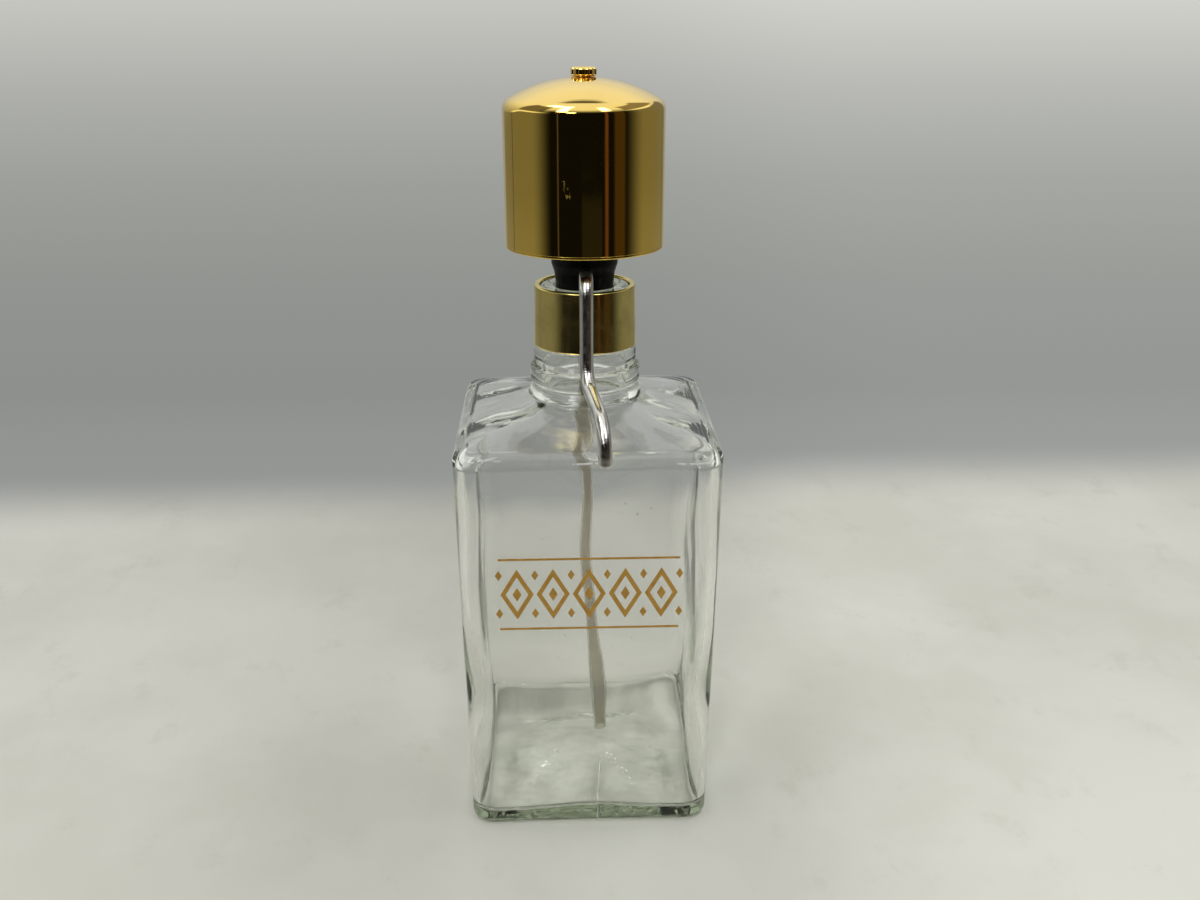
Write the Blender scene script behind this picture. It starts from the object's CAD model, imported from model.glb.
import math

import bmesh
import bpy
from mathutils import Matrix, Vector, noise


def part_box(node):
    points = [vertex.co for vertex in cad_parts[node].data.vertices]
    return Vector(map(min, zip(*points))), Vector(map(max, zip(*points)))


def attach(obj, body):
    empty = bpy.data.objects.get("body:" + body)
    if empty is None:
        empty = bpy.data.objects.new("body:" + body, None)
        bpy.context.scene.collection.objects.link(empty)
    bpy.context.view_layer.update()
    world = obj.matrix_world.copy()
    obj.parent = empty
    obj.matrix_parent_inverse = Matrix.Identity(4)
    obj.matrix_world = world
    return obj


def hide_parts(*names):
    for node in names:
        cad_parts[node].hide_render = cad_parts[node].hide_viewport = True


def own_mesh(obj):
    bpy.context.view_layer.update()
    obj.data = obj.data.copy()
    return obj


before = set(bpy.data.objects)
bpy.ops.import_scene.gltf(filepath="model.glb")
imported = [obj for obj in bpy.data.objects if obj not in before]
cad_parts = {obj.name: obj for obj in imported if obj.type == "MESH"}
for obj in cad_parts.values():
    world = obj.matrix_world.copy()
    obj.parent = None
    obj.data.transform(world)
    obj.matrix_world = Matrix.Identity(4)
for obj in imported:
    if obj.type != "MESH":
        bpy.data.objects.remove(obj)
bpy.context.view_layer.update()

MM = 0.001
DEGREES = 180 / math.pi
SCENE = bpy.context.scene
AROUND = 240   # points round a turned piece
HOLD = 0.12    # extra points this near the ends of a straight stretch keep its shading flat
RIM_ROUND = 0.12   # rounding of a tube's rims


# ---- Places read from the frame, in millimetres ------------------------------
def low_high(node):
    low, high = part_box(node)
    return low / MM, high / MM


COLLAR_LOW, COLLAR_HIGH = low_high("neck_collar")
STOPPER_LOW = low_high("stopper")[0]
SPOUT_LOW, SPOUT_HIGH = low_high("spout_tube")
NIPPLE_LOW = low_high("dip_nipple")[0]
DIP_LOW = low_high("dip_tube")[0]
CAP_LOW, CAP_HIGH = low_high("cap_shell")
FINIAL_HIGH = low_high("finial")[1]
WASHER_HIGH = low_high("finial_washer")[1]
BELLOWS_LOW, BELLOWS_HIGH = low_high("bellows")
SPRING_LOW, SPRING_HIGH = low_high("return_spring")
MOUTH_Z = low_high("bottle")[1].z

# ---- Sizes that the frame's boxes don't show, in millimetres -----------------
SHOULDER_HALF = 44.9      # half the body's width, under the shoulder's edge
FOOT_HALF = 42.85         # half its width at the foot
BODY_H = 144.1            # from the foot to the shoulder's edge
BODY_CORNER_R = 7.5
SHOULDER_TILT = math.radians(19)
SLOPE = math.tan(SHOULDER_TILT)
SHOULDER_EDGE_R = 4.5
HEEL_R = 3.0
GLASS_WALL = 3.0
SHOULDER_WALL = 3.2
SHOULDER_DROP = SHOULDER_WALL / math.cos(SHOULDER_TILT)
FLOOR_H = 5.0
INNER_CORNER_R = 6.2
INNER_HEEL_R = 3.5
INNER_SHOULDER_R = 4.5
PUSH_UP_INSET = 9.3       # the raised middle of the floor starts this far in from the wall
PUSH_UP_H = 1.8
FOOT_DISH_R = 32.85
FOOT_DISH_H = 1.5
NECK_FLARE_R = 19.8
NECK_ROOT_R = 21.2
NECK_WAIST_R = 17.9
LOWER_BEAD_R = 19.3
UPPER_BEAD_R = 18.0
LIP_R = 15.35
INNER_ROOT_R = 13.7
THROAT_R = 9.3
NECK_BORE_R = 14.6
MOUTH_R = 10.0
BEADS_BELOW = 13.5        # the lower bead starts this far below the collar's foot
BEAD_SLANT = 0.6
LOWER_BEAD_TOP = 5.8      # these three are above the lower bead's start
UPPER_BEAD_FOOT = 8.3
UPPER_BEAD_TOP = 13.1
GROOVE_DEPTH = 0.9        # between the beads
SEAT_GAP = 0.65           # from the collar's outside to the glass in it
COLLAR_TAPER = 0.73       # the glass in the collar loses this much radius on its way to the lip
COLLAR_RIM_H = 1.7        # the collar's turned-in rim lies this thick on the glass

SPOUT_R = 2.38
SPOUT_WALL = 0.6
SPOUT_ARM_Z = SPOUT_HIGH.z - SPOUT_R
SPOUT_TOP_BEND = 7.0
SPOUT_SWING_BEND = 9.0
SPOUT_TIP_BEND = 12.0
SPOUT_REACH = 21.1        # from the axis to the run that goes down past the collar
SPOUT_TIP_GAP = 0.37      # between the tip and the bottle's front
SPOUT_SWING = math.radians(75)
SPOUT_TURN = math.radians(11)
DIP_BORE_R = 1.72
DIP_R = 2.4
DIP_DRIFT = 4.7           # how far the bow carries the tube's end towards +X

HEM_PROUD = 0.08
HEM_H = 1.0
HEM_DEEP = 1.7            # the rolled hem, from its outside to its inside
CAP_R = CAP_HIGH.x - HEM_PROUD
CAP_WALL = 0.9
CAP_EDGE_ROUND = 4.5
CAP_HOLE_R = 1.6
DOME_RISE = 7.85


# ---- Mesh helpers ------------------------------------------------------------
def rounded(corners, closed=False):
    """Points of an outline through (r, z, corner radius[, steps on the arc]) corners, in millimetres."""
    points = []
    count = len(corners)
    for i, corner in enumerate(corners):
        r, z, radius = corner[:3]
        here = Vector((r, z))
        if not radius or (not closed and i in (0, count - 1)):
            points.append(here)
            continue
        steps = corner[3] if len(corner) > 3 else 6
        before = Vector(corners[i - 1][:2])
        after = Vector(corners[(i + 1) % count][:2])
        back = (before - here).normalized()
        ahead = (after - here).normalized()
        half = back.angle(ahead) / 2
        reach = radius / math.tan(half)
        centre = here + (back + ahead).normalized() * (radius / math.sin(half))
        start = here + back * reach - centre
        turn = math.pi - 2 * half
        if start.x * ahead.y - start.y * ahead.x < 0:
            turn = -turn
        for k in range(steps + 1):
            angle = turn * k / steps
            c, s = math.cos(angle), math.sin(angle)
            points.append(centre + Vector((start.x * c - start.y * s, start.x * s + start.y * c)))
    return points


def shares(length, step):
    """Where a straight stretch is divided, as shares of its length, its far end left out."""
    parts = max(1, int(length / step))
    places = [k / parts for k in range(parts)]
    if length > 6 * HOLD:
        places += [HOLD / length, 1 - HOLD / length]
    return sorted(places)


def divided(points, plan):
    """The outline with its stretches divided at the shares that the plan gives for each."""
    result = []
    for a, b, places in zip(points, points[1:], plan):
        result += [a.lerp(b, share) for share in places]
    result.append(points[-1])
    return result


def plan_for(points, step):
    return [shares((b - a).length, step) for a, b in zip(points, points[1:])]


def add_object(name, mesh):
    obj = bpy.data.objects.new(name, mesh)
    SCENE.collection.objects.link(obj)
    return obj


def new_object(name, verts, faces):
    mesh = bpy.data.meshes.new(name)
    mesh.from_pydata(verts, [], faces)
    mesh.validate()
    mesh.update()
    mesh.shade_smooth()
    return add_object(name, mesh)


def mend(obj, close_ends=False):
    """Joins doubled points or closes the open ends, and turns every face outwards."""
    bm = bmesh.new()
    bm.from_mesh(obj.data)
    if close_ends:
        bmesh.ops.holes_fill(bm, edges=[e for e in bm.edges if e.is_boundary])
    else:
        bmesh.ops.remove_doubles(bm, verts=bm.verts, dist=1e-7)
    bmesh.ops.recalc_face_normals(bm, faces=bm.faces)
    bm.to_mesh(obj.data)
    bm.free()
    return obj


def sharpen(obj, degrees=35):
    """Keeps edges sharper than the angle crisp in the shading."""
    obj.data.set_sharp_from_angle(angle=math.radians(degrees))
    return obj


def skin(name, rows, closed=True):
    """Mesh from rows of as many points each; a closed skin joins its last row to its first."""
    verts = [p for row in rows for p in row]
    count = len(rows[0])
    faces = []
    last = len(rows) if closed else len(rows) - 1
    for i in range(last):
        low = i * count
        high = ((i + 1) % len(rows)) * count
        for k in range(count):
            n = (k + 1) % count
            faces.append((low + k, low + n, high + n, high + k))
    return sharpen(mend(new_object(name, verts, faces)))


def turned_rows(outline, around=AROUND, cut=None):
    """One row of points round Z for each outline point, in metres; cut gives how deep each is cut in."""
    rows = []
    for p in outline:
        ring = []
        for k in range(around):
            a = 2 * math.pi * k / around
            r = p.x - cut(p.x, a) if cut else p.x
            ring.append((r * math.cos(a) * MM, r * math.sin(a) * MM, p.y * MM))
        rows.append(ring)
    return rows


def lathe(name, corners, around=AROUND, step=3.0):
    """Turned piece from a closed outline in millimetres."""
    outline = rounded(corners, closed=True)
    outline.append(outline[0])
    outline = divided(outline, plan_for(outline, step))
    return skin(name, turned_rows(outline[:-1], around))


def arc(centre_z, radius, r_from, r_to, count):
    """Outline corners on a sphere's upper half, from one distance off the axis to another."""
    corners = []
    for k in range(count + 1):
        r = r_from + (r_to - r_from) * k / count
        corners.append((r, centre_z + math.sqrt(radius ** 2 - r ** 2), 0))
    return corners


def bent_path(corners, step=1.2, bend_step=math.radians(6)):
    """Path in millimetres of straight runs and arcs through (point, bend radius) corners."""
    points = []
    for i, (here, radius) in enumerate(corners):
        if not radius:
            points.append(here)
            continue
        back = (corners[i - 1][0] - here).normalized()
        ahead = (corners[i + 1][0] - here).normalized()
        half = back.angle(ahead) / 2
        centre = here + (back + ahead).normalized() * (radius / math.sin(half))
        start = here + back * (radius / math.tan(half)) - centre
        end = here + ahead * (radius / math.tan(half)) - centre
        turn = start.angle(end)
        steps = max(4, round(turn / bend_step))
        axis = start.cross(end).normalized()
        for k in range(steps + 1):
            points.append(centre + Matrix.Rotation(turn * k / steps, 3, axis) @ start)
    full = []
    for a, b in zip(points, points[1:]):
        full += [a.lerp(b, share) for share in shares((b - a).length, step)]
    full.append(points[-1])
    return full


def frames_along(points):
    """Two directions square to the path at each point, carried along without twist."""
    result = []
    side = None
    for i, p in enumerate(points):
        ahead = (points[min(i + 1, len(points) - 1)] - points[max(i - 1, 0)]).normalized()
        if side is None:
            side = ahead.orthogonal().normalized()
        side = (side - ahead * side.dot(ahead)).normalized()
        result.append((side, ahead.cross(side)))
    return result


def ring_round(centre, side, up, radius, around):
    """Points of a circle round a place on a path, in metres."""
    turns = [2 * math.pi * k / around for k in range(around)]
    return [(centre + (side * math.cos(a) + up * math.sin(a)) * radius) * MM for a in turns]


def tube(name, points, outer, inner, around=48):
    """Hollow round tube along points, with softly rounded rims; all in millimetres."""
    frames = frames_along(points)
    wall = outer - inner
    rim = min(RIM_ROUND, wall * 0.45)

    def row(i, radius, shift=0.0):
        side, up = frames[i]
        ahead = side.cross(up)
        return ring_round(points[i] + ahead * shift, side, up, radius, around)

    last = len(points) - 1
    rim_steps = 4
    turns = [math.pi / 2 * k / rim_steps for k in range(rim_steps + 1)]
    rows = [row(0, outer - rim + rim * math.sin(t), rim - rim * math.cos(t)) for t in turns]
    rows += [row(i, outer) for i in range(1, last)]
    rows += [row(last, outer - rim + rim * math.cos(t), -rim + rim * math.sin(t)) for t in turns]
    rows += [row(last, inner + rim - rim * math.sin(t), -rim + rim * math.cos(t)) for t in turns]
    rows += [row(i, inner) for i in range(last - 1, 0, -1)]
    rows += [row(0, inner + rim - rim * math.cos(t), rim - rim * math.sin(t)) for t in turns]
    return skin(name, rows)


def plates(name, outlines, place, thickness):
    """Thin flat shapes. Each outline is one loop, or an outer and an inner loop of as many points."""
    bm = bmesh.new()
    for loops in outlines:
        layers = []
        for lift in (0.0, thickness):
            layers.append([[bm.verts.new(place(x, z, lift)) for x, z in loop] for loop in loops])
        for base, top in zip(*layers):
            for k in range(len(base)):
                n = (k + 1) % len(base)
                bm.faces.new((base[k], base[n], top[n], top[k]))
        for layer in layers:
            if len(layer) == 1:
                bm.faces.new(layer[0])
                continue
            outer, inner = layer
            for k in range(len(outer)):
                n = (k + 1) % len(outer)
                bm.faces.new((outer[k], outer[n], inner[n], inner[k]))
    bmesh.ops.recalc_face_normals(bm, faces=bm.faces)
    mesh = bpy.data.meshes.new(name)
    bm.to_mesh(mesh)
    bm.free()
    mesh.shade_flat()
    return add_object(name, mesh)


# ---- Shader helpers ----------------------------------------------------------
class Graph:
    """Short forms for making the shader nodes of one material or world."""

    def __init__(self, owner):
        owner.use_nodes = True
        self.owner = owner
        self.nodes = owner.node_tree.nodes
        self.links = owner.node_tree.links
        self.nodes.clear()

    def node(self, kind, settings=None, **inputs):
        made = self.nodes.new(kind)
        for key, value in (settings or {}).items():
            setattr(made, key, value)
        for key, value in inputs.items():
            self.put(made.inputs[key.replace("_", " ")], value)
        return made

    def put(self, socket, value):
        if isinstance(value, bpy.types.NodeSocket):
            self.links.new(value, socket)
        elif isinstance(value, (tuple, list)) and len(value) == 3 and socket.type == "RGBA":
            socket.default_value = (*value, 1)
        else:
            socket.default_value = value

    def math(self, operation, *values, clamp=False):
        made = self.nodes.new("ShaderNodeMath")
        made.operation = operation
        made.use_clamp = clamp
        for socket, value in zip(made.inputs, values):
            self.put(socket, value)
        return made.outputs[0]

    def times(self, first, *others):
        for other in others:
            first = self.math("MULTIPLY", first, other)
        return first

    def plus(self, a, b):
        return self.math("ADD", a, b)

    def fade(self, value, low, high, at_low=0.0, at_high=1.0):
        """Runs smoothly from at_low to at_high as the value goes from low to high."""
        made = self.nodes.new("ShaderNodeMapRange")
        made.interpolation_type = "SMOOTHSTEP"
        for socket, number in zip(made.inputs, (value, low, high, at_low, at_high)):
            self.put(socket, number)
        return made.outputs[0]

    def window(self, value, low, high, soft):
        """One between low and high, fading to nothing over the soft width inside each end."""
        return self.times(self.fade(value, low, low + soft), self.fade(value, high, high - soft))

    def mix(self, factor, a, b, blend="MIX"):
        made = self.nodes.new("ShaderNodeMix")
        made.data_type = "RGBA"
        made.blend_type = blend
        self.put(made.inputs[0], factor)
        self.put(made.inputs[6], a)
        self.put(made.inputs[7], b)
        return made.outputs[2]

    def blend_shaders(self, factor, first, second):
        made = self.node("ShaderNodeMixShader", Fac=factor)
        self.put(made.inputs[1], first.outputs[0])
        self.put(made.inputs[2], second.outputs[0])
        return made

    def ramp(self, value, stops):
        """Colour by value, through (place, colour) stops."""
        made = self.nodes.new("ShaderNodeValToRGB")
        elements = made.color_ramp.elements
        while len(elements) < len(stops):
            elements.new(0.5)
        for element, (place, shade) in zip(elements, stops):
            element.position = place
            element.color = (*shade, 1)
        self.put(made.inputs[0], value)
        return made.outputs[0]

    def noise(self, vector, scale, detail=3.0, roughness=0.5):
        settings = {"Scale": scale, "Detail": detail, "Roughness": roughness, "Vector": vector}
        return self.node("ShaderNodeTexNoise", **settings).outputs["Fac"]

    def spots(self, vector, scale):
        return self.node("ShaderNodeTexVoronoi", Scale=scale, Vector=vector).outputs["Distance"]

    def stretched(self, vector, x, y, z):
        return self.node("ShaderNodeMapping", Vector=vector, Scale=(x, y, z)).outputs[0]

    def bump(self, height, distance, strength, normal=None):
        made = self.node("ShaderNodeBump", Height=height, Distance=distance, Strength=strength)
        if normal:
            self.put(made.inputs["Normal"], normal)
        return made.outputs[0]

    def finish(self, volume=None, **sockets):
        """The material, with a Principled surface that has the given sockets."""
        shader = self.node("ShaderNodeBsdfPrincipled", **sockets)
        output = self.node("ShaderNodeOutputMaterial", Surface=shader.outputs[0])
        if volume:
            self.put(output.inputs["Volume"], volume)
        return self.owner


def new_material(name):
    """The graph of a new material, and the point on the piece in its own coordinates, in metres."""
    g = Graph(bpy.data.materials.new(name))
    return g, g.node("ShaderNodeTexCoord").outputs["Object"]


def dress(obj, material):
    obj.data.materials.clear()
    obj.data.materials.append(material)


# ---- Materials ---------------------------------------------------------------
# Zones of the glass, in metres. A fade runs from its first number, nothing, to its second, full.
BASE_BELOW = (0.011, 0.009)        # height under which the glass is the thick base
BASE_WITHIN = (0.0405, 0.0385)     # distance from the middle at which its clear outer band ends
BASE_MIDDLE = (0.033, 0.027)       # the same for its flat middle
SCUFF_Z = ((BODY_H - 2.5) * MM, (BODY_H - 1.6) * MM)   # scuffed line round the shoulder's edge
SCUFF_BEYOND = ((SHOULDER_HALF - 1.6) * MM, (SHOULDER_HALF - 1.4) * MM)


def clear_glass():
    """Soda glass, faintly green through its thickness and uneven, its shoulder's edge scuffed."""
    g, place = new_material("clear_glass")
    x, y, z = g.node("ShaderNodeSeparateXYZ", Vector=place).outputs
    outermost = g.math("MAXIMUM", g.math("ABSOLUTE", x), g.math("ABSOLUTE", y))
    sloping = g.fade(z, (BODY_H - 2) * MM, (BODY_H + 1) * MM)
    low_down = g.fade(z, *BASE_BELOW)
    settled = g.times(low_down, g.fade(outermost, *BASE_WITHIN))
    flat = g.times(low_down, g.fade(outermost, *BASE_MIDDLE))

    # Unevenness: ripples all over, swells on the shoulder, hammered base with a mould line, fine grain.
    ripple = g.noise(place, 55, detail=1.0)
    swell = g.noise(place, 95, detail=2.0)
    hammered = g.noise(place, 100, detail=1.5)
    fine = g.noise(place, 700, detail=2.0)
    beside_line = g.math("SUBTRACT", x, g.plus(g.times(y, 0.074), 0.0055))
    mould_line = g.window(beside_line, -0.0005, 0.0005, 0.0004)
    mould_line = g.times(mould_line, g.fade(y, -0.005, -0.008), settled)
    uneven = g.plus(hammered, g.times(mould_line, 0.6))
    normal = g.bump(ripple, 0.00035, 0.5)
    normal = g.bump(g.times(swell, sloping), 0.00035, 0.5, normal)
    normal = g.bump(g.times(uneven, flat), 0.0014, 0.5, normal)
    normal = g.bump(fine, 0.000004, 0.5, normal)

    # Haze: a cloudy film in the base, and small seeds anywhere.
    film = g.fade(g.noise(place, 75, detail=5.0, roughness=0.65), 0.36, 0.62)
    film = g.times(film, settled, 0.45)
    seeds = g.times(g.fade(g.spots(place, 230), 0.16, 0.08), g.fade(g.noise(place, 26), 0.62, 0.66))
    film = g.math("MAXIMUM", film, g.times(seeds, 0.8))

    # Scuffs: a wandering broken line round the shoulder's edge, and two streaks of sparks in the base.
    wander = g.times(g.math("SUBTRACT", g.noise(place, 28, detail=1.0), 0.5), 0.006)
    broken = g.times(g.fade(ripple, 0.44, 0.52), g.fade(g.noise(place, 500), 0.36, 0.46))
    scuff = g.window(g.plus(z, wander), *SCUFF_Z, 0.0003)
    scuff = g.times(scuff, g.fade(outermost, *SCUFF_BEYOND), broken)
    across = g.math("ABSOLUTE", g.plus(x, 0.0026))
    streak = g.window(g.plus(across, g.times(y, 0.42)), 0.0080, 0.0116, 0.0012)
    streak = g.times(streak, low_down, g.window(y, -0.028, 0.003, 0.006))
    sparks = g.times(streak, g.fade(g.noise(place, 650, detail=1.0), 0.60, 0.66))
    scuff = g.math("MAXIMUM", scuff, g.math("MAXIMUM", sparks, g.times(mould_line, 0.35)))

    absorb = g.node("ShaderNodeVolumeAbsorption", Color=(0.50, 0.56, 0.42), Density=31.0)
    return g.finish(
        volume=absorb.outputs[0],
        Base_Color=g.mix(film, (1.0, 1.0, 1.0), (0.58, 0.59, 0.55)),
        Roughness=g.plus(g.fade(fine, 0.3, 0.7, 0.0, 0.012), g.times(scuff, 0.5)),
        IOR=1.5,
        Transmission_Weight=g.math("SUBTRACT", 1.0, scuff),
        Normal=normal,
    )


CAP_SCUFF_X = (0.0603, 0.0630)    # a scuff on the cap's front, in metres across, along its slant
CAP_SCUFF_Z = (0.2215, 0.2310)
CAP_SCUFF_SLANT = 0.3


def polished_gold():
    """Bright plated gold, with faint orange peel, wiping marks, a few specks and one scuff."""
    g, place = new_material("polished_gold")
    x, y, high = g.node("ShaderNodeSeparateXYZ", Vector=place).outputs
    smudge = g.noise(place, 60, detail=4.0, roughness=0.6)
    peel = g.noise(place, 260, detail=2.0)
    worn = g.fade(g.spots(place, 420), 0.05, 0.0)
    slant = g.plus(x, g.times(high, CAP_SCUFF_SLANT))
    scuff = g.times(g.window(slant, *CAP_SCUFF_X, 0.0010), g.window(high, *CAP_SCUFF_Z, 0.003))
    rubbed = g.fade(g.noise(g.stretched(place, 1.4, 1, 0.7), 900, detail=3.0), 0.50, 0.60)
    scuff = g.times(scuff, rubbed, g.fade(y, 0.0, -0.005))

    edge_z = CAP_HIGH.z - DOME_RISE
    dome = g.fade(high, (edge_z - 3.0) * MM, (edge_z + 1.0) * MM)
    plated = g.mix(dome, (0.84, 0.58, 0.12), (0.86, 0.61, 0.19))
    colour = g.mix(g.times(g.fade(smudge, 0.45, 0.75), 0.06), plated, (0.2, 0.12, 0.03))
    colour = g.mix(g.times(worn, 0.35), colour, (0.30, 0.19, 0.05))
    roughness = g.fade(smudge, 0.35, 0.8, 0.045, 0.10)
    return g.finish(
        Base_Color=colour,
        Metallic=1.0,
        Roughness=g.plus(roughness, g.plus(g.times(worn, 0.3), g.times(scuff, 0.4))),
        Normal=g.bump(peel, 0.000006, 0.6),
    )


def collar_brass():
    """Satin plated sleeve, a little dull and rubbed, with faint drawn lines up its side."""
    g, place = new_material("collar_brass")
    lines = g.noise(g.stretched(place, 900, 900, 30), 1.0, detail=3.0)
    dull = g.noise(place, 120, detail=4.0, roughness=0.65)
    specks = g.fade(g.spots(place, 500), 0.09, 0.0)
    colour = g.mix(g.fade(dull, 0.35, 0.75), (0.71, 0.575, 0.19), (0.59, 0.475, 0.155))
    colour = g.mix(g.times(specks, 0.6), colour, (0.15, 0.10, 0.04))
    return g.finish(
        Base_Color=colour,
        Metallic=1.0,
        Roughness=g.fade(dull, 0.3, 0.8, 0.16, 0.30),
        Normal=g.bump(lines, 0.000008, 0.5),
    )


def plain_metal(name, colour, roughness):
    """Bright bare or plated metal with a fine even grain."""
    g, place = new_material(name)
    grain = g.noise(place, 600, detail=4.0)
    stain = g.noise(place, 90, detail=3.0)
    darker = tuple(c * 0.82 for c in colour)
    return g.finish(
        Base_Color=g.mix(g.fade(stain, 0.4, 0.75), colour, darker),
        Metallic=1.0,
        Roughness=g.fade(grain, 0.3, 0.7, roughness * 0.75, roughness * 1.3),
        Normal=g.bump(grain, 0.000004, 0.5),
    )


def moulded(name, colour, roughness, dust=0.0, shine=0.5):
    """Rubber or plastic from a mould, with a fine grain and, on request, some pale dust."""
    g, place = new_material(name)
    grain = g.noise(place, 900, detail=4.0)
    patches = g.noise(place, 150, detail=5.0, roughness=0.7)
    paler = tuple(min(1.0, c * 1.35 + 0.004) for c in colour)
    colour = g.mix(g.fade(patches, 0.4, 0.7), colour, paler)
    if dust:
        flecks = g.times(g.fade(patches, 0.56, 0.66), g.fade(grain, 0.5, 0.62))
        colour = g.mix(g.times(flecks, dust), colour, (0.3, 0.27, 0.2))
    return g.finish(
        Base_Color=colour,
        Roughness=g.fade(grain, 0.3, 0.7, roughness * 0.85, min(1.0, roughness * 1.2)),
        Specular_IOR_Level=shine,
        Normal=g.bump(grain, 0.00001, 0.6),
    )


def clear_vinyl():
    """Slightly milky soft tube that light passes with a little blur."""
    g, place = new_material("clear_vinyl")
    cloud = g.noise(g.stretched(place, 1, 1, 0.25), 260, detail=3.0)
    return g.finish(
        Base_Color=g.mix(g.fade(cloud, 0.3, 0.7), (0.60, 0.57, 0.50), (0.72, 0.69, 0.62)),
        Roughness=g.fade(cloud, 0.3, 0.7, 0.03, 0.10),
        IOR=1.45,
        Transmission_Weight=0.94,
        Normal=g.bump(cloud, 0.00002, 0.5),
    )


def printed_gold():
    """Fired ochre-gold print on the glass, a little thin in places."""
    g, place = new_material("printed_gold")
    wear = g.noise(place, 420, detail=4.0, roughness=0.6)
    colour = g.mix(g.fade(wear, 0.4, 0.72), (0.62, 0.34, 0.055), (0.50, 0.27, 0.035))
    return g.finish(
        Base_Color=colour,
        Metallic=0.15,
        Roughness=g.fade(wear, 0.3, 0.7, 0.38, 0.52),
        Normal=g.bump(wear, 0.00001, 0.5),
    )


GLASS = clear_glass()
GOLD = polished_gold()
BRASS = collar_brass()
CHROME = plain_metal("chrome_tube", (0.70, 0.68, 0.65), 0.21)
STEEL = plain_metal("steel", (0.56, 0.56, 0.57), 0.24)
SPRING_STEEL = plain_metal("spring_steel", (0.42, 0.42, 0.44), 0.3)
PLAIN_BRASS = plain_metal("plain_brass", (0.62, 0.45, 0.18), 0.25)
RUBBER = moulded("black_rubber", (0.003, 0.003, 0.0028), 0.4, dust=0.12, shine=0.12)
BELLOWS_RUBBER = moulded("bellows_rubber", (0.03, 0.03, 0.032), 0.55)
VALVE_RUBBER = moulded("valve_rubber", (0.28, 0.085, 0.04), 0.6)
BLACK_PLASTIC = moulded("black_plastic", (0.02, 0.02, 0.02), 0.4)
WHITE_PLASTIC = moulded("white_plastic", (0.62, 0.62, 0.58), 0.45)
VINYL = clear_vinyl()
PRINT = printed_gold()


# ---- Glass bottle ------------------------------------------------------------
BOTTLE_AROUND = 360
BOTTLE_STEP = 4.0


def square_radius(half, corner, angle):
    """Distance from the axis to a square outline with round corners, in the direction of the angle."""
    c, s = abs(math.cos(angle)), abs(math.sin(angle))
    if c < s:
        c, s = s, c
    flat = half - corner
    if half * s <= flat * c:
        return half / c
    along = flat * (c + s)
    return along + math.sqrt(corner ** 2 - 2 * flat ** 2 + along ** 2)


def neck_corners():
    """Outside of the neck from the shoulder up, over the lip, and down the bore."""
    seat_foot = COLLAR_HIGH.x - SEAT_GAP
    seat_top = seat_foot - COLLAR_TAPER
    lip_step = COLLAR_HIGH.z - COLLAR_RIM_H
    bead_z = COLLAR_LOW.z - BEADS_BELOW
    groove = (LOWER_BEAD_TOP + UPPER_BEAD_FOOT) / 2
    return [
        (NECK_FLARE_R, NECK_ROOT_Z + (NECK_ROOT_R - NECK_FLARE_R) * SLOPE, 1.2),
        (NECK_FLARE_R - 0.6, bead_z - 2.6, 1.2),
        (NECK_WAIST_R, bead_z - BEAD_SLANT, 0.6),
        (LOWER_BEAD_R, bead_z + BEAD_SLANT, 1.6, 8),
        (LOWER_BEAD_R, bead_z + LOWER_BEAD_TOP, 1.6, 8),
        (UPPER_BEAD_R - GROOVE_DEPTH, bead_z + groove, 0.5),
        (UPPER_BEAD_R, bead_z + UPPER_BEAD_FOOT, 0.8),
        (UPPER_BEAD_R, bead_z + UPPER_BEAD_TOP, 0.3, 3),
        (seat_foot, COLLAR_LOW.z, 0),
        (seat_top, lip_step, 0.3, 3),
        (LIP_R, lip_step, 0),
        (LIP_R, MOUTH_Z, 0.8),
        (MOUTH_R + 1.0, MOUTH_Z, 0),
        (MOUTH_R - 0.05, MOUTH_Z - 1.0, 0.8),
        (THROAT_R, STOPPER_LOW.z - 0.6, 0),
    ]


NECK_ROOT_Z = BODY_H + (SHOULDER_HALF - NECK_ROOT_R) * SLOPE
INNER_SHOULDER_Z = BODY_H + GLASS_WALL * SLOPE - SHOULDER_DROP
INNER_ROOT_Z = BODY_H + (SHOULDER_HALF - INNER_ROOT_R) * SLOPE - SHOULDER_DROP
INNER_FOOT_HALF = FOOT_HALF + (SHOULDER_HALF - FOOT_HALF) * FLOOR_H / BODY_H - GLASS_WALL


def dome_points(radius, height, z, count):
    """Outline from the axis out over a shallow dome."""
    sphere = (radius ** 2 + height ** 2) / (2 * height)
    points = []
    for k in range(count):
        r = radius * k / count
        points.append((max(r, 0.01), z + height - sphere + math.sqrt(sphere ** 2 - r ** 2), 0))
    return points


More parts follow.
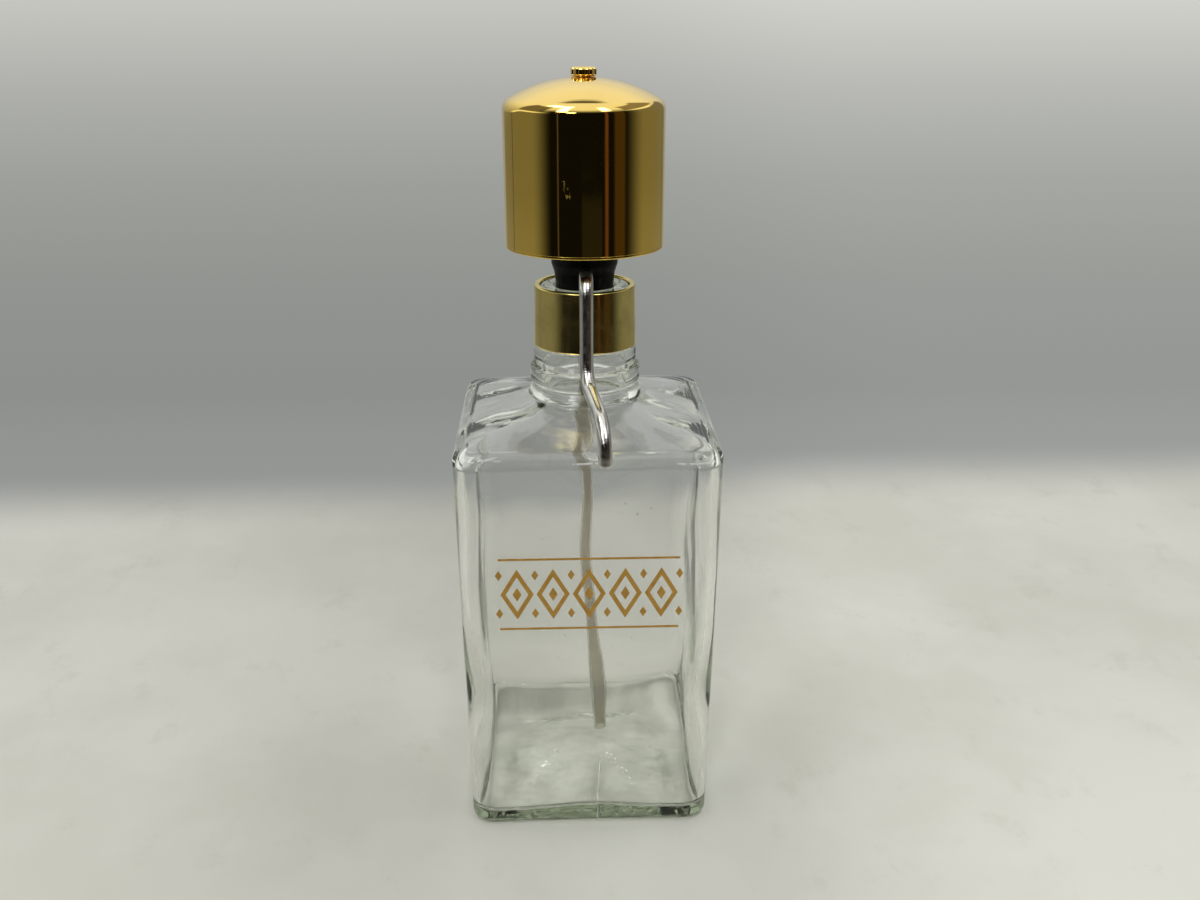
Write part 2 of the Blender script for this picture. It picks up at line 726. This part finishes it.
def bottle_corners(angle):
    """The glass's outline in one direction: under the foot, up the outside, and down the inside."""
    foot = square_radius(FOOT_HALF, BODY_CORNER_R, angle)
    shoulder = square_radius(SHOULDER_HALF, BODY_CORNER_R, angle)
    inner_shoulder = square_radius(SHOULDER_HALF - GLASS_WALL, INNER_CORNER_R, angle)
    inner_foot = square_radius(INNER_FOOT_HALF, INNER_CORNER_R, angle)
    push_up_r = INNER_FOOT_HALF - PUSH_UP_INSET
    under = dome_points(FOOT_DISH_R, FOOT_DISH_H, 0, 12)
    floor = dome_points(push_up_r, PUSH_UP_H, FLOOR_H, 12)
    outside = [
        (FOOT_DISH_R, 0, 0),
        (foot, 0, HEEL_R, 8),
        (shoulder, BODY_H, SHOULDER_EDGE_R, 10),
        (NECK_ROOT_R, NECK_ROOT_Z, 0),
    ]
    inside = [
        (NECK_BORE_R, COLLAR_LOW.z, 3, 6),
        (NECK_BORE_R, INNER_ROOT_Z + (INNER_ROOT_R - NECK_BORE_R) * SLOPE, 6, 10),
        (inner_shoulder, INNER_SHOULDER_Z, INNER_SHOULDER_R, 10),
        (inner_foot, FLOOR_H, INNER_HEEL_R, 12),
        (push_up_r, FLOOR_H, 0),
    ]
    return under + outside + neck_corners() + inside + floor[::-1]


def make_bottle():
    reference = rounded(bottle_corners(0))
    plan = plan_for(reference, BOTTLE_STEP)
    mouth = max(range(len(reference)), key=lambda i: reference[i].y)
    start_inside = sum(len(p) for p in plan[:mouth])
    columns = []
    for k in range(BOTTLE_AROUND):
        angle = 2 * math.pi * k / BOTTLE_AROUND
        outline = divided(rounded(bottle_corners(angle)), plan)
        column = []
        for i, p in enumerate(outline):
            r, z = p.x, p.y
            if i > start_inside:
                r, z = uneven_inside(r, z, angle)
            column.append((r * math.cos(angle) * MM, r * math.sin(angle) * MM, z * MM))
        columns.append(column)
    rows = [list(row) for row in zip(*columns)]
    bottle = mend(skin("glass_bottle", rows, closed=False), close_ends=True)
    bottle.data.shade_smooth()
    sharpen(bottle, 50)
    return bottle


WAVE_Z = 50               # height, spread and depth of the settled wave in the walls
WAVE_SPREAD = 9
WAVE_DEPTH = 1.7
SOFT_DEPTH = 1.1          # broad unevenness of the walls
THIN_FOOT = 1.2           # the walls are this much thinner at the foot
THIN_TOP = 0.8            # and this much thinner high up
FLOOR_SWAY = 0.9          # the floor rises towards its corners and dips between them
FLOOR_ROUGH = 0.3
SHOULDER_ROUGH = 1.5


def ramp_up(value, low, span):
    """From 0 at low to 1 a span further on; a negative span runs downwards."""
    return min(max((value - low) / span, 0), 1)


def uneven_inside(r, z, angle):
    """Blown glass: the inside wanders, most of all in a settled wave low on the walls."""
    x, y = r * math.cos(angle), r * math.sin(angle)
    on_wall = ramp_up(z, 12, 12) * ramp_up(z, BODY_H - 2, -14)
    soft = noise.noise(Vector((x / 24, y / 24, z / 28 + 3.1)))
    wave = math.exp(-((z - WAVE_Z) / WAVE_SPREAD) ** 2)
    wave *= 0.55 + 0.45 * noise.noise(Vector((x / 30, y / 30, 7.7)))
    low_down = ramp_up(z, 38, -16) * ramp_up(r, 26, 10)
    high_up = ramp_up(z, 58, 40)
    r += THIN_FOOT * low_down + on_wall * (THIN_TOP * high_up - SOFT_DEPTH * soft - WAVE_DEPTH * wave)
    on_floor = ramp_up(z, 22, -8) * ramp_up(r, 18, 14)
    rough = FLOOR_ROUGH * noise.noise(Vector((x / 18, y / 18, 1.3)))
    z += on_floor * (FLOOR_SWAY * math.cos(4 * angle) + rough)
    on_shoulder = ramp_up(z, BODY_H - 8, 8) * ramp_up(r, INNER_ROOT_R + 1, 6)
    z += on_shoulder * SHOULDER_ROUGH * noise.noise(Vector((x / 15, y / 15, 5.9)))
    return r, z


BOTTLE = make_bottle()
dress(BOTTLE, GLASS)
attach(BOTTLE, "bottle")
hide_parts("bottle")


# ---- Printed ornament on the front -------------------------------------------
ORNAMENT_LOW = 81.0
ORNAMENT_HIGH = 108.0
ORNAMENT_HALF = 30.5
LOZENGES = 5
LOZENGE_HALF_H = 9.5
LOZENGE_CORE = (1.5, 2.6)    # half the width and half the height of the solid ones
SMALL_LOZENGE = (1.2, 1.9)
SMALL_OFF_MIDDLE = 7.2
LINE_W = 1.5
RULE_H = 0.8
PRINT_LIFT = 0.02
PRINT_THICK = 0.08


def on_front(x, z, lift):
    """Point on the bottle's front face, lifted off the glass, in metres."""
    face = FOOT_HALF + (SHOULDER_HALF - FOOT_HALF) * z / BODY_H
    return Vector((x, -face - PRINT_LIFT - lift, z)) * MM


def lozenge(x, z, half_w, half_h):
    return [(x - half_w, z), (x, z - half_h), (x + half_w, z), (x, z + half_h)]


def bar(x_low, x_high, z_low, z_high):
    return [(x_low, z_low), (x_high, z_low), (x_high, z_high), (x_low, z_high)]


def make_ornament():
    """A band of outlined lozenges with small solid ones between, under and over thin rules."""
    middle = (ORNAMENT_LOW + ORNAMENT_HIGH) / 2
    pitch = 2 * ORNAMENT_HALF / LOZENGES
    half_w = pitch / 2 - 0.5
    shapes = []
    for k in range(LOZENGES):
        x = -ORNAMENT_HALF + pitch * (k + 0.5)
        shrink = 1 - LINE_W * math.hypot(1 / half_w, 1 / LOZENGE_HALF_H)
        hole = lozenge(x, middle, half_w * shrink, LOZENGE_HALF_H * shrink)
        shapes.append([lozenge(x, middle, half_w, LOZENGE_HALF_H), hole])
        shapes.append([lozenge(x, middle, *LOZENGE_CORE)])
    for k in range(LOZENGES + 1):
        x = -ORNAMENT_HALF + pitch * k
        for side in (-1, 1):
            shapes.append([lozenge(x, middle + side * SMALL_OFF_MIDDLE, *SMALL_LOZENGE)])
    for z in (ORNAMENT_LOW, ORNAMENT_HIGH - RULE_H):
        shapes.append([bar(-ORNAMENT_HALF, ORNAMENT_HALF, z, z + RULE_H)])
    return plates("front_ornament", shapes, on_front, PRINT_THICK)


ORNAMENT = make_ornament()
dress(ORNAMENT, PRINT)
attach(ORNAMENT, "bottle")


# ---- Collar, stopper, spout and dip tube -------------------------------------
def make_collar():
    foot_r = COLLAR_HIGH.x
    top_r = foot_r - 0.8
    rim_r = top_r - 2.05
    wall = 0.6
    low, high = COLLAR_LOW.z, COLLAR_HIGH.z
    return lathe(
        "collar_sleeve",
        [
            (foot_r - wall, low, 0.08, 2),
            (foot_r, low, 0.2, 4),
            (top_r, high, 0.7, 8),
            (rim_r, high, 0.7, 8),
            (rim_r, high - COLLAR_RIM_H, 0.1, 2),
            (foot_r - wall - COLLAR_TAPER, high - COLLAR_RIM_H, 0.1, 2),
        ],
    )


COLLAR = make_collar()
dress(COLLAR, BRASS)
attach(COLLAR, "bottle")
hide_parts("neck_collar")


def make_spout():
    """Up the stopper's axis, over to the front, down past the collar, then out in an S to the tip."""
    out = (SHOULDER_HALF + SPOUT_TIP_GAP + SPOUT_R - SPOUT_REACH) / math.cos(SPOUT_TURN)
    outwards = Vector((math.sin(SPOUT_TURN), -math.cos(SPOUT_TURN), 0))
    swing_z = COLLAR_LOW.z - 1.7
    upper = Vector((0, -SPOUT_REACH, swing_z - SPOUT_SWING_BEND * math.tan(SPOUT_SWING / 2)))
    lower = upper + outwards * out - Vector((0, 0, out / math.tan(SPOUT_SWING)))
    path = bent_path(
        [
            (Vector((0, 0, STOPPER_LOW.z)), 0),
            (Vector((0, 0, SPOUT_ARM_Z)), SPOUT_TOP_BEND),
            (Vector((0, -SPOUT_REACH, SPOUT_ARM_Z)), SPOUT_TOP_BEND),
            (upper, SPOUT_SWING_BEND),
            (lower, SPOUT_TIP_BEND),
            (Vector((lower.x, lower.y, SPOUT_LOW.z)), 0),
        ]
    )
    return tube("spout", path, SPOUT_R, SPOUT_R - SPOUT_WALL)


SPOUT = make_spout()
dress(SPOUT, CHROME)
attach(SPOUT, "head")
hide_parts("spout_tube")


def make_dip_tube():
    """Straight over the nipple, then one long bow towards +X."""
    bend_z = NIPPLE_LOW.z - 2.8
    end_z = DIP_LOW.z
    length = bend_z - end_z
    bow_r = (length ** 2 + DIP_DRIFT ** 2) / (2 * DIP_DRIFT)
    sweep = math.asin(length / bow_r)
    straight = 16
    start = Vector((0, 0, STOPPER_LOW.z))
    points = [start.lerp(Vector((0, 0, bend_z)), k / straight) for k in range(straight)]
    steps = 60
    for k in range(steps + 1):
        a = sweep * k / steps
        points.append(Vector((bow_r * (1 - math.cos(a)), 0, bend_z - bow_r * math.sin(a))))
    return tube("dip_hose", points, DIP_R, DIP_BORE_R, around=40)


DIP = make_dip_tube()
dress(DIP, VINYL)
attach(DIP, "head")
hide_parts("dip_tube")


# ---- Domed cap and its finial ------------------------------------------------
def make_cap():
    """Spun shell: rolled hem, straight skirt, rounded edge and shallow dome, all one thickness."""
    low, apex = CAP_LOW.z, CAP_HIGH.z
    dome_r = (CAP_R ** 2 + DOME_RISE ** 2) / (2 * DOME_RISE)
    centre_z = apex - dome_r
    inner_r = CAP_R - CAP_WALL
    hem_r = CAP_R + HEM_PROUD
    steps = 26
    outer_edge = arc_edge(CAP_R, dome_r, centre_z, CAP_EDGE_ROUND)
    inner_edge = arc_edge(inner_r, dome_r - CAP_WALL, centre_z, CAP_EDGE_ROUND - CAP_WALL)
    corners = [
        (hem_r - HEM_DEEP, low, 0.45, 6),
        (hem_r, low, 0.45, 6),
        (hem_r, low + HEM_H, 0.07, 3),
        (CAP_R, low + HEM_H, 0.07, 3),
    ]
    corners += outer_edge
    corners += arc(centre_z, dome_r, outer_edge[-1][0] - 0.8, CAP_HOLE_R, steps)
    corners += arc(centre_z, dome_r - CAP_WALL, CAP_HOLE_R, inner_edge[-1][0] - 0.8, steps)
    corners += inner_edge[::-1]
    corners += [(inner_r, low + HEM_H, 0.05, 2), (hem_r - HEM_DEEP, low + HEM_H, 0.45, 6)]
    return lathe("cap_dome", corners, around=288)


def arc_edge(skirt_r, dome_r, centre_z, edge):
    """Corners of the round between a skirt and a dome: tangent to both."""
    r = skirt_r - edge
    z = centre_z + math.sqrt((dome_r - edge) ** 2 - r ** 2)
    top = math.atan2(z - centre_z, r)
    steps = 20
    corners = []
    for k in range(steps + 1):
        a = top * k / steps
        corners.append((r + edge * math.cos(a), z + edge * math.sin(a), 0))
    return corners


CAP = make_cap()
dress(CAP, GOLD)
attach(CAP, "cap")
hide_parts("cap_shell")


def make_finial():
    """Fluted button: round scallops cut into the edge, and a low crown."""
    low, high = WASHER_HIGH.z, FINIAL_HIGH.z
    radius = 4.3
    plain_r = 1.6
    flutes = 12
    depth = 0.5
    outline = rounded(
        [
            (0.02, low, 0),
            (radius, low, 0.3, 4),
            (radius, high - 0.5, 0.7, 8),
            (radius - 1.5, high, 0.7, 6),
            (0.02, high, 0),
        ]
    )
    outline = divided(outline, plan_for(outline, 0.4))

    def fluting(r, a):
        groove = max(0.0, math.cos(flutes * a)) ** 3
        reach = min(max((r - plain_r) / (radius - plain_r), 0), 1) ** 1.5
        return depth * groove * reach

    return skin("finial_button", turned_rows(outline, cut=fluting))


FINIAL = make_finial()
dress(FINIAL, GOLD)
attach(FINIAL, "cap")
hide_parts("finial")


def make_bellows():
    wall = 0.9
    cuff = 5.9   # still as long as its band when squashed
    folds = 5
    fold = 2.9
    crest = BELLOWS_HIGH.x
    cuff_r = 16.92
    low, high = BELLOWS_LOW.z, BELLOWS_HIGH.z
    pitch = (high - low - 2 * cuff) / folds
    outside = [(cuff_r, low, 0), (cuff_r, low + cuff, 0.4)]
    inside = [(cuff_r - wall, low, 0), (cuff_r - wall, low + cuff, 0.4)]
    for k in range(folds):
        for points, offset in ((outside, 0), (inside, wall)):
            if k:
                points.append((crest - fold - offset, low + cuff + pitch * k, 0.4))
            points.append((crest - offset, low + cuff + pitch * (k + 0.5), 0.5))
    for points, radius in ((outside, cuff_r), (inside, cuff_r - wall)):
        points.append((radius, high - cuff, 0.4))
        points.append((radius, high, 0))
    return lathe("bellows_bulb", outside + inside[::-1], around=160, step=1.0)


BELLOWS = make_bellows()
dress(BELLOWS, BELLOWS_RUBBER)
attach(BELLOWS, "head")
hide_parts("bellows")
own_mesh(BELLOWS)


def make_spring():
    """Round wire: a closed turn at each end and open turns between."""
    wire_r = 0.6
    radius = SPRING_HIGH.x - wire_r
    low, high = SPRING_LOW.z + wire_r, SPRING_HIGH.z - wire_r
    turns = 6
    closed_rise = 1.3
    open_rise = (high - low - 2 * closed_rise) / (turns - 2)
    per_turn = 48
    points = []
    for k in range(turns * per_turn + 1):
        turn = k / per_turn
        z = low + min(turn, 1) * closed_rise
        z += min(max(turn - 1, 0), turns - 2) * open_rise + max(turn - turns + 1, 0) * closed_rise
        a = 2 * math.pi * turn
        points.append(Vector((radius * math.cos(a), radius * math.sin(a), z)))
    frames = frames_along(points)
    round_wire = 12
    rows = [ring_round(p, side, up, wire_r, round_wire) for p, (side, up) in zip(points, frames)]
    return mend(skin("spring_coil", rows, closed=False), close_ends=True)


SPRING = make_spring()
dress(SPRING, SPRING_STEEL)
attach(SPRING, "head")
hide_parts("return_spring")
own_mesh(SPRING)

# ---- CAD nodes that keep their shape -----------------------------------------
CAD_FINISH = {
    "stopper": RUBBER,
    "dip_nipple": STEEL,
    "air_tube": STEEL,
    "pump_base": BLACK_PLASTIC,
    "outlet_valve_cage": WHITE_PLASTIC,
    "outlet_valve_disc": VALVE_RUBBER,
    "guide_sleeve": PLAIN_BRASS,
    "plunger_rod": STEEL,
    "bellows_lower_band": STEEL,
    "bellows_upper_band": STEEL,
    "upper_plate": BLACK_PLASTIC,
    "inlet_valve_disc": VALVE_RUBBER,
    "inlet_valve_retainer": STEEL,
    "cap_hub": WHITE_PLASTIC,
    "finial_washer": GOLD,
}
for node, finish in CAD_FINISH.items():
    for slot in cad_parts[node].material_slots:
        slot.material = finish


# ---- Floor and backdrop ------------------------------------------------------
SWEEP_START = 0.27   # metres behind the bottle's axis
SWEEP_RADIUS = 0.9
SWEEP_HALF = 3.2
FLOOR_FRONT = -1.8
FLOOR_Z = -0.0002
HORIZON = (0.22, 0.315)   # the lit floor gives way to the backdrop between these distances
BACKDROP_TOP = 0.60       # metres above the floor to which the shades below run
BACKDROP_SHADES = [
    (0.0, (0.300, 0.308, 0.300)),
    (0.025, (0.268, 0.277, 0.266)),
    (0.10, (0.288, 0.297, 0.280)),
    (0.21, (0.338, 0.348, 0.325)),
    (0.33, (0.425, 0.430, 0.405)),
    (0.475, (0.560, 0.565, 0.525)),
    (0.95, (1.0, 1.0, 0.97)),
]
TENT_FROM = (0.24, 0.42)  # polished surfaces see the tent in place of floor at this distance
TENT_CENTRE = (0, 0, 0.2)


def directions(g, direction):
    """Azimuth from the front (left is negative) and height, both in degrees, and the parts of it."""
    x, y, z = g.node("ShaderNodeSeparateXYZ", Vector=direction).outputs
    level = g.math("SQRT", g.plus(g.times(x, x), g.times(y, y)))
    height = g.times(g.math("ARCTAN2", z, level), DEGREES)
    azimuth = g.times(g.math("ARCTAN2", x, g.times(y, -1)), DEGREES)
    return azimuth, height, x, y, z


def open_front(g, azimuth, height, top, top_soft):
    """One where the tent's dark front opening is, fading out at its sides and top."""
    sides = g.times(g.fade(azimuth, -80, -47), g.fade(azimuth, 92, 57))
    return g.times(sides, g.fade(height, top, top - top_soft))


def even_light(g, direction):
    """What matt surfaces are lit by: a pale tent, brighter overhead, open in front."""
    azimuth, height, *_ = directions(g, direction)
    light = g.fade(height, -14, 30, 0.21, 1.04)
    return g.mix(open_front(g, azimuth, height, 40, 6), light, (0.02, 0.02, 0.018))


# Directions in degrees. Cloth hangs past the rim: azimuth from and to, height of its top, and shade.
CLOTH = (
    (-112, -57, 56, (0.20, 0.18, 0.14)),
    (59, 139, 58, (0.31, 0.28, 0.23)),
)
FOLDS = ((-120, 0.7), (139, 0.4))   # dark folds in the wall under the rim: azimuth and depth
FOLD_HALF = 1.7
STRIPS = (   # what stands in the dark opening: azimuth from and to, softness and shade
    (-39, -36.8, 0.7, (0.10, 0.085, 0.09)),
    (27, 33, 1.5, (0.13, 0.055, 0.028)),
    (39, 60, 5, (0.062, 0.036, 0.012)),
)
LAMPS = (   # azimuth from and to, height from and to
    (-44, -24, 22, 72),
    (-28, -11, 16, 27),
    (-92, -40, 56, 71),
    (23, 43, 30, 61),
)
LAMP_LIGHT = (6.0, 6.0, 6.0)


def tent_seen(g, direction):
    """What polished surfaces and glass see of the tent, by direction from the bottle."""
    azimuth, height, x, y, z = directions(g, direction)
    aside = g.math("ABSOLUTE", azimuth)
    seen = g.mix(g.fade(height, -4, 46), (0.37, 0.39, 0.375), (1.08, 1.11, 1.08))

    # The walls are grey cloth up to a lit rim, which stands higher on the right.
    rim = g.plus(g.fade(azimuth, -128, -95, 0, 13), g.fade(azimuth, -60, 62, 0, 15))
    over_rim = g.math("SUBTRACT", height, rim)
    below = g.times(g.fade(over_rim, 1, -3), g.fade(aside, 150, 146))
    seen = g.mix(below, seen, g.mix(g.fade(height, -5, -11), (0.215, 0.215, 0.20), (0.265, 0.265, 0.25)))
    for low, high, top, shade in CLOTH:
        band = g.times(g.window(azimuth, low, high, 7), g.window(height, 15, top, 4))
        seen = g.mix(g.times(band, g.fade(over_rim, 2, 6)), seen, shade)
    lit = g.times(g.window(over_rim, -4, 4.5, 3), g.fade(aside, 125, 112))
    seen = g.mix(lit, seen, (1.3, 1.35, 1.35))
    for at, depth in FOLDS:
        line = g.times(g.window(azimuth, at - FOLD_HALF, at + FOLD_HALF, FOLD_HALF), depth)
        seen = g.mix(g.times(line, g.fade(height, 2, -2)), seen, (0.02, 0.02, 0.02))

    # A bar hangs across the ceiling behind, placed by shares of the ceiling's height.
    above = g.math("MAXIMUM", z, 0.05)
    out = g.math("ABSOLUTE", g.math("DIVIDE", x, above))
    bar = g.times(g.window(g.math("DIVIDE", y, above), 0.28, 0.62, 0.09), g.fade(out, 0.28, 0.12))
    seen = g.mix(g.times(bar, g.fade(height, 45, 50)), seen, (0.15, 0.14, 0.10))

    inside = g.times(g.window(azimuth, -5, 24, 1), g.fade(height, -7.0, -7.6))
    dark = g.mix(inside, (0.006, 0.006, 0.006), (0.020, 0.019, 0.016))
    for low, high, soft, shade in STRIPS:
        dark = g.mix(g.window(azimuth, low, high, soft), dark, shade)
    seen = g.mix(open_front(g, azimuth, height, 46, 26), seen, dark)
    for low, high, foot, top in LAMPS:
        lamp = g.times(g.window(azimuth, low, high, 5), g.window(height, foot, top, 5))
        seen = g.mix(lamp, seen, LAMP_LIGHT)
    return seen


def make_world():
    world = bpy.data.worlds.new("studio")
    SCENE.world = world
    g = Graph(world)
    direction = g.node("ShaderNodeTexCoord").outputs["Generated"]
    rays = g.node("ShaderNodeLightPath").outputs
    mirrored = g.math("MAXIMUM", rays["Is Glossy Ray"], rays["Is Transmission Ray"])
    tent = g.mix(mirrored, even_light(g, direction), tent_seen(g, direction))
    tent = g.mix(rays["Is Transmission Ray"], tent, (0.19, 0.23, 0.18), "LIGHTEN")
    light = g.node("ShaderNodeBackground", Color=tent, Strength=1.0)
    seen = g.node("ShaderNodeBackground", Color=(0.62, 0.63, 0.63), Strength=1.0)
    mixed = g.blend_shaders(rays["Is Camera Ray"], light, seen)
    g.node("ShaderNodeOutputWorld", Surface=mixed.outputs[0])


def sweep_material():
    """Pale lit floor that turns into an evenly shaded backdrop behind the bottle."""
    g, place = new_material("sweep")
    x, y, z = g.node("ShaderNodeSeparateXYZ", Vector=place).outputs
    rays = g.node("ShaderNodeLightPath").outputs
    grey = g.ramp(g.math("DIVIDE", z, BACKDROP_TOP), BACKDROP_SHADES)
    backdrop = g.node("ShaderNodeEmission", Color=grey, Strength=g.fade(x, 0.0, 0.3, 1.0, 1.12))
    cloud = g.noise(place, 7, detail=4.0, roughness=0.6)
    nearer = g.fade(y, 0.15, -0.07, 0.93, 1.02)
    beside = g.plus(g.fade(x, 0.04, 0.15, 0.0, 0.33), g.fade(x, -0.05, -0.22, 0.0, 0.22))
    nearer = g.times(nearer, g.plus(1.0, beside))
    marks = g.noise(g.stretched(place, 12, 8, 8), 3.0, detail=8.0, roughness=0.7)
    colour = g.mix(g.fade(cloud, 0.35, 0.65), (0.585, 0.58, 0.515), (0.65, 0.645, 0.585))
    colour = g.mix(g.fade(marks, 0.54, 0.70, 0.0, 0.35), colour, (0.5, 0.485, 0.42))
    lit = g.node("ShaderNodeVectorMath", {"operation": "SCALE"}, Vector=colour, Scale=nearer)
    floor = g.node("ShaderNodeBsdfPrincipled", Base_Color=lit.outputs[0], Roughness=0.55)
    behind = g.fade(g.math("SUBTRACT", y, g.fade(x, 0.0, 0.18, 0.0, 0.03)), *HORIZON)
    seen = g.math("MAXIMUM", rays["Is Camera Ray"], rays["Is Glossy Ray"])
    seen = g.math("MAXIMUM", seen, rays["Is Transmission Ray"])
    shown = g.blend_shaders(g.times(behind, seen), floor, backdrop)
    # Far from the bottle, polished surfaces see the tent's walls and its dark opening instead.
    distance = g.math("SQRT", g.plus(g.times(x, x), g.times(y, y)))
    raised = g.node("ShaderNodeVectorMath", {"operation": "SUBTRACT"})
    g.put(raised.inputs[0], place)
    g.put(raised.inputs[1], TENT_CENTRE)
    tent = g.node("ShaderNodeEmission", Color=tent_seen(g, raised.outputs[0]), Strength=1.0)
    mirrored = g.math("SUBTRACT", rays["Is Glossy Ray"], rays["Is Transmission Ray"], clamp=True)
    final = g.blend_shaders(g.times(g.fade(distance, *TENT_FROM), mirrored), shown, tent)
    g.node("ShaderNodeOutputMaterial", Surface=final.outputs[0])
    return g.owner


def make_sweep():
    """Floor that curves up into the backdrop."""
    steps = 40
    profile = [(y, FLOOR_Z) for y in (FLOOR_FRONT, -0.6, -0.2, 0.05)]
    for k in range(steps + 1):
        a = math.pi / 2 * k / steps
        z = FLOOR_Z + SWEEP_RADIUS * (1 - math.cos(a))
        profile.append((SWEEP_START + SWEEP_RADIUS * math.sin(a), z))
    verts = []
    for y, z in profile:
        verts += [(-SWEEP_HALF, y, z), (SWEEP_HALF, y, z)]
    faces = [(2 * i, 2 * i + 1, 2 * i + 3, 2 * i + 2) for i in range(len(profile) - 1)]
    sweep = new_object("sweep", verts, faces)
    dress(sweep, sweep_material())


# ---- Camera ------------------------------------------------------------------
CAMERA_PLACE = (-0.0102, -0.4074, 0.2821)
CAMERA_AHEAD = (0.03563, 0.9361, -0.3501)


def make_camera():
    camera = bpy.data.cameras.new("camera")
    camera.sensor_width = 36
    camera.lens = 36
    obj = add_object("camera", camera)
    obj.location = CAMERA_PLACE
    obj.rotation_euler = Vector(CAMERA_AHEAD).to_track_quat("-Z", "Y").to_euler()
    SCENE.camera = obj


make_world()
make_sweep()
make_camera()
SCENE.view_settings.view_transform = "Standard"
# Light is guided a long way inside the thick glass before it comes out.
SCENE.cycles.max_bounces = 24
SCENE.cycles.glossy_bounces = 16
SCENE.cycles.transmission_bounces = 24
SCENE.cycles.blur_glossy = 0.0
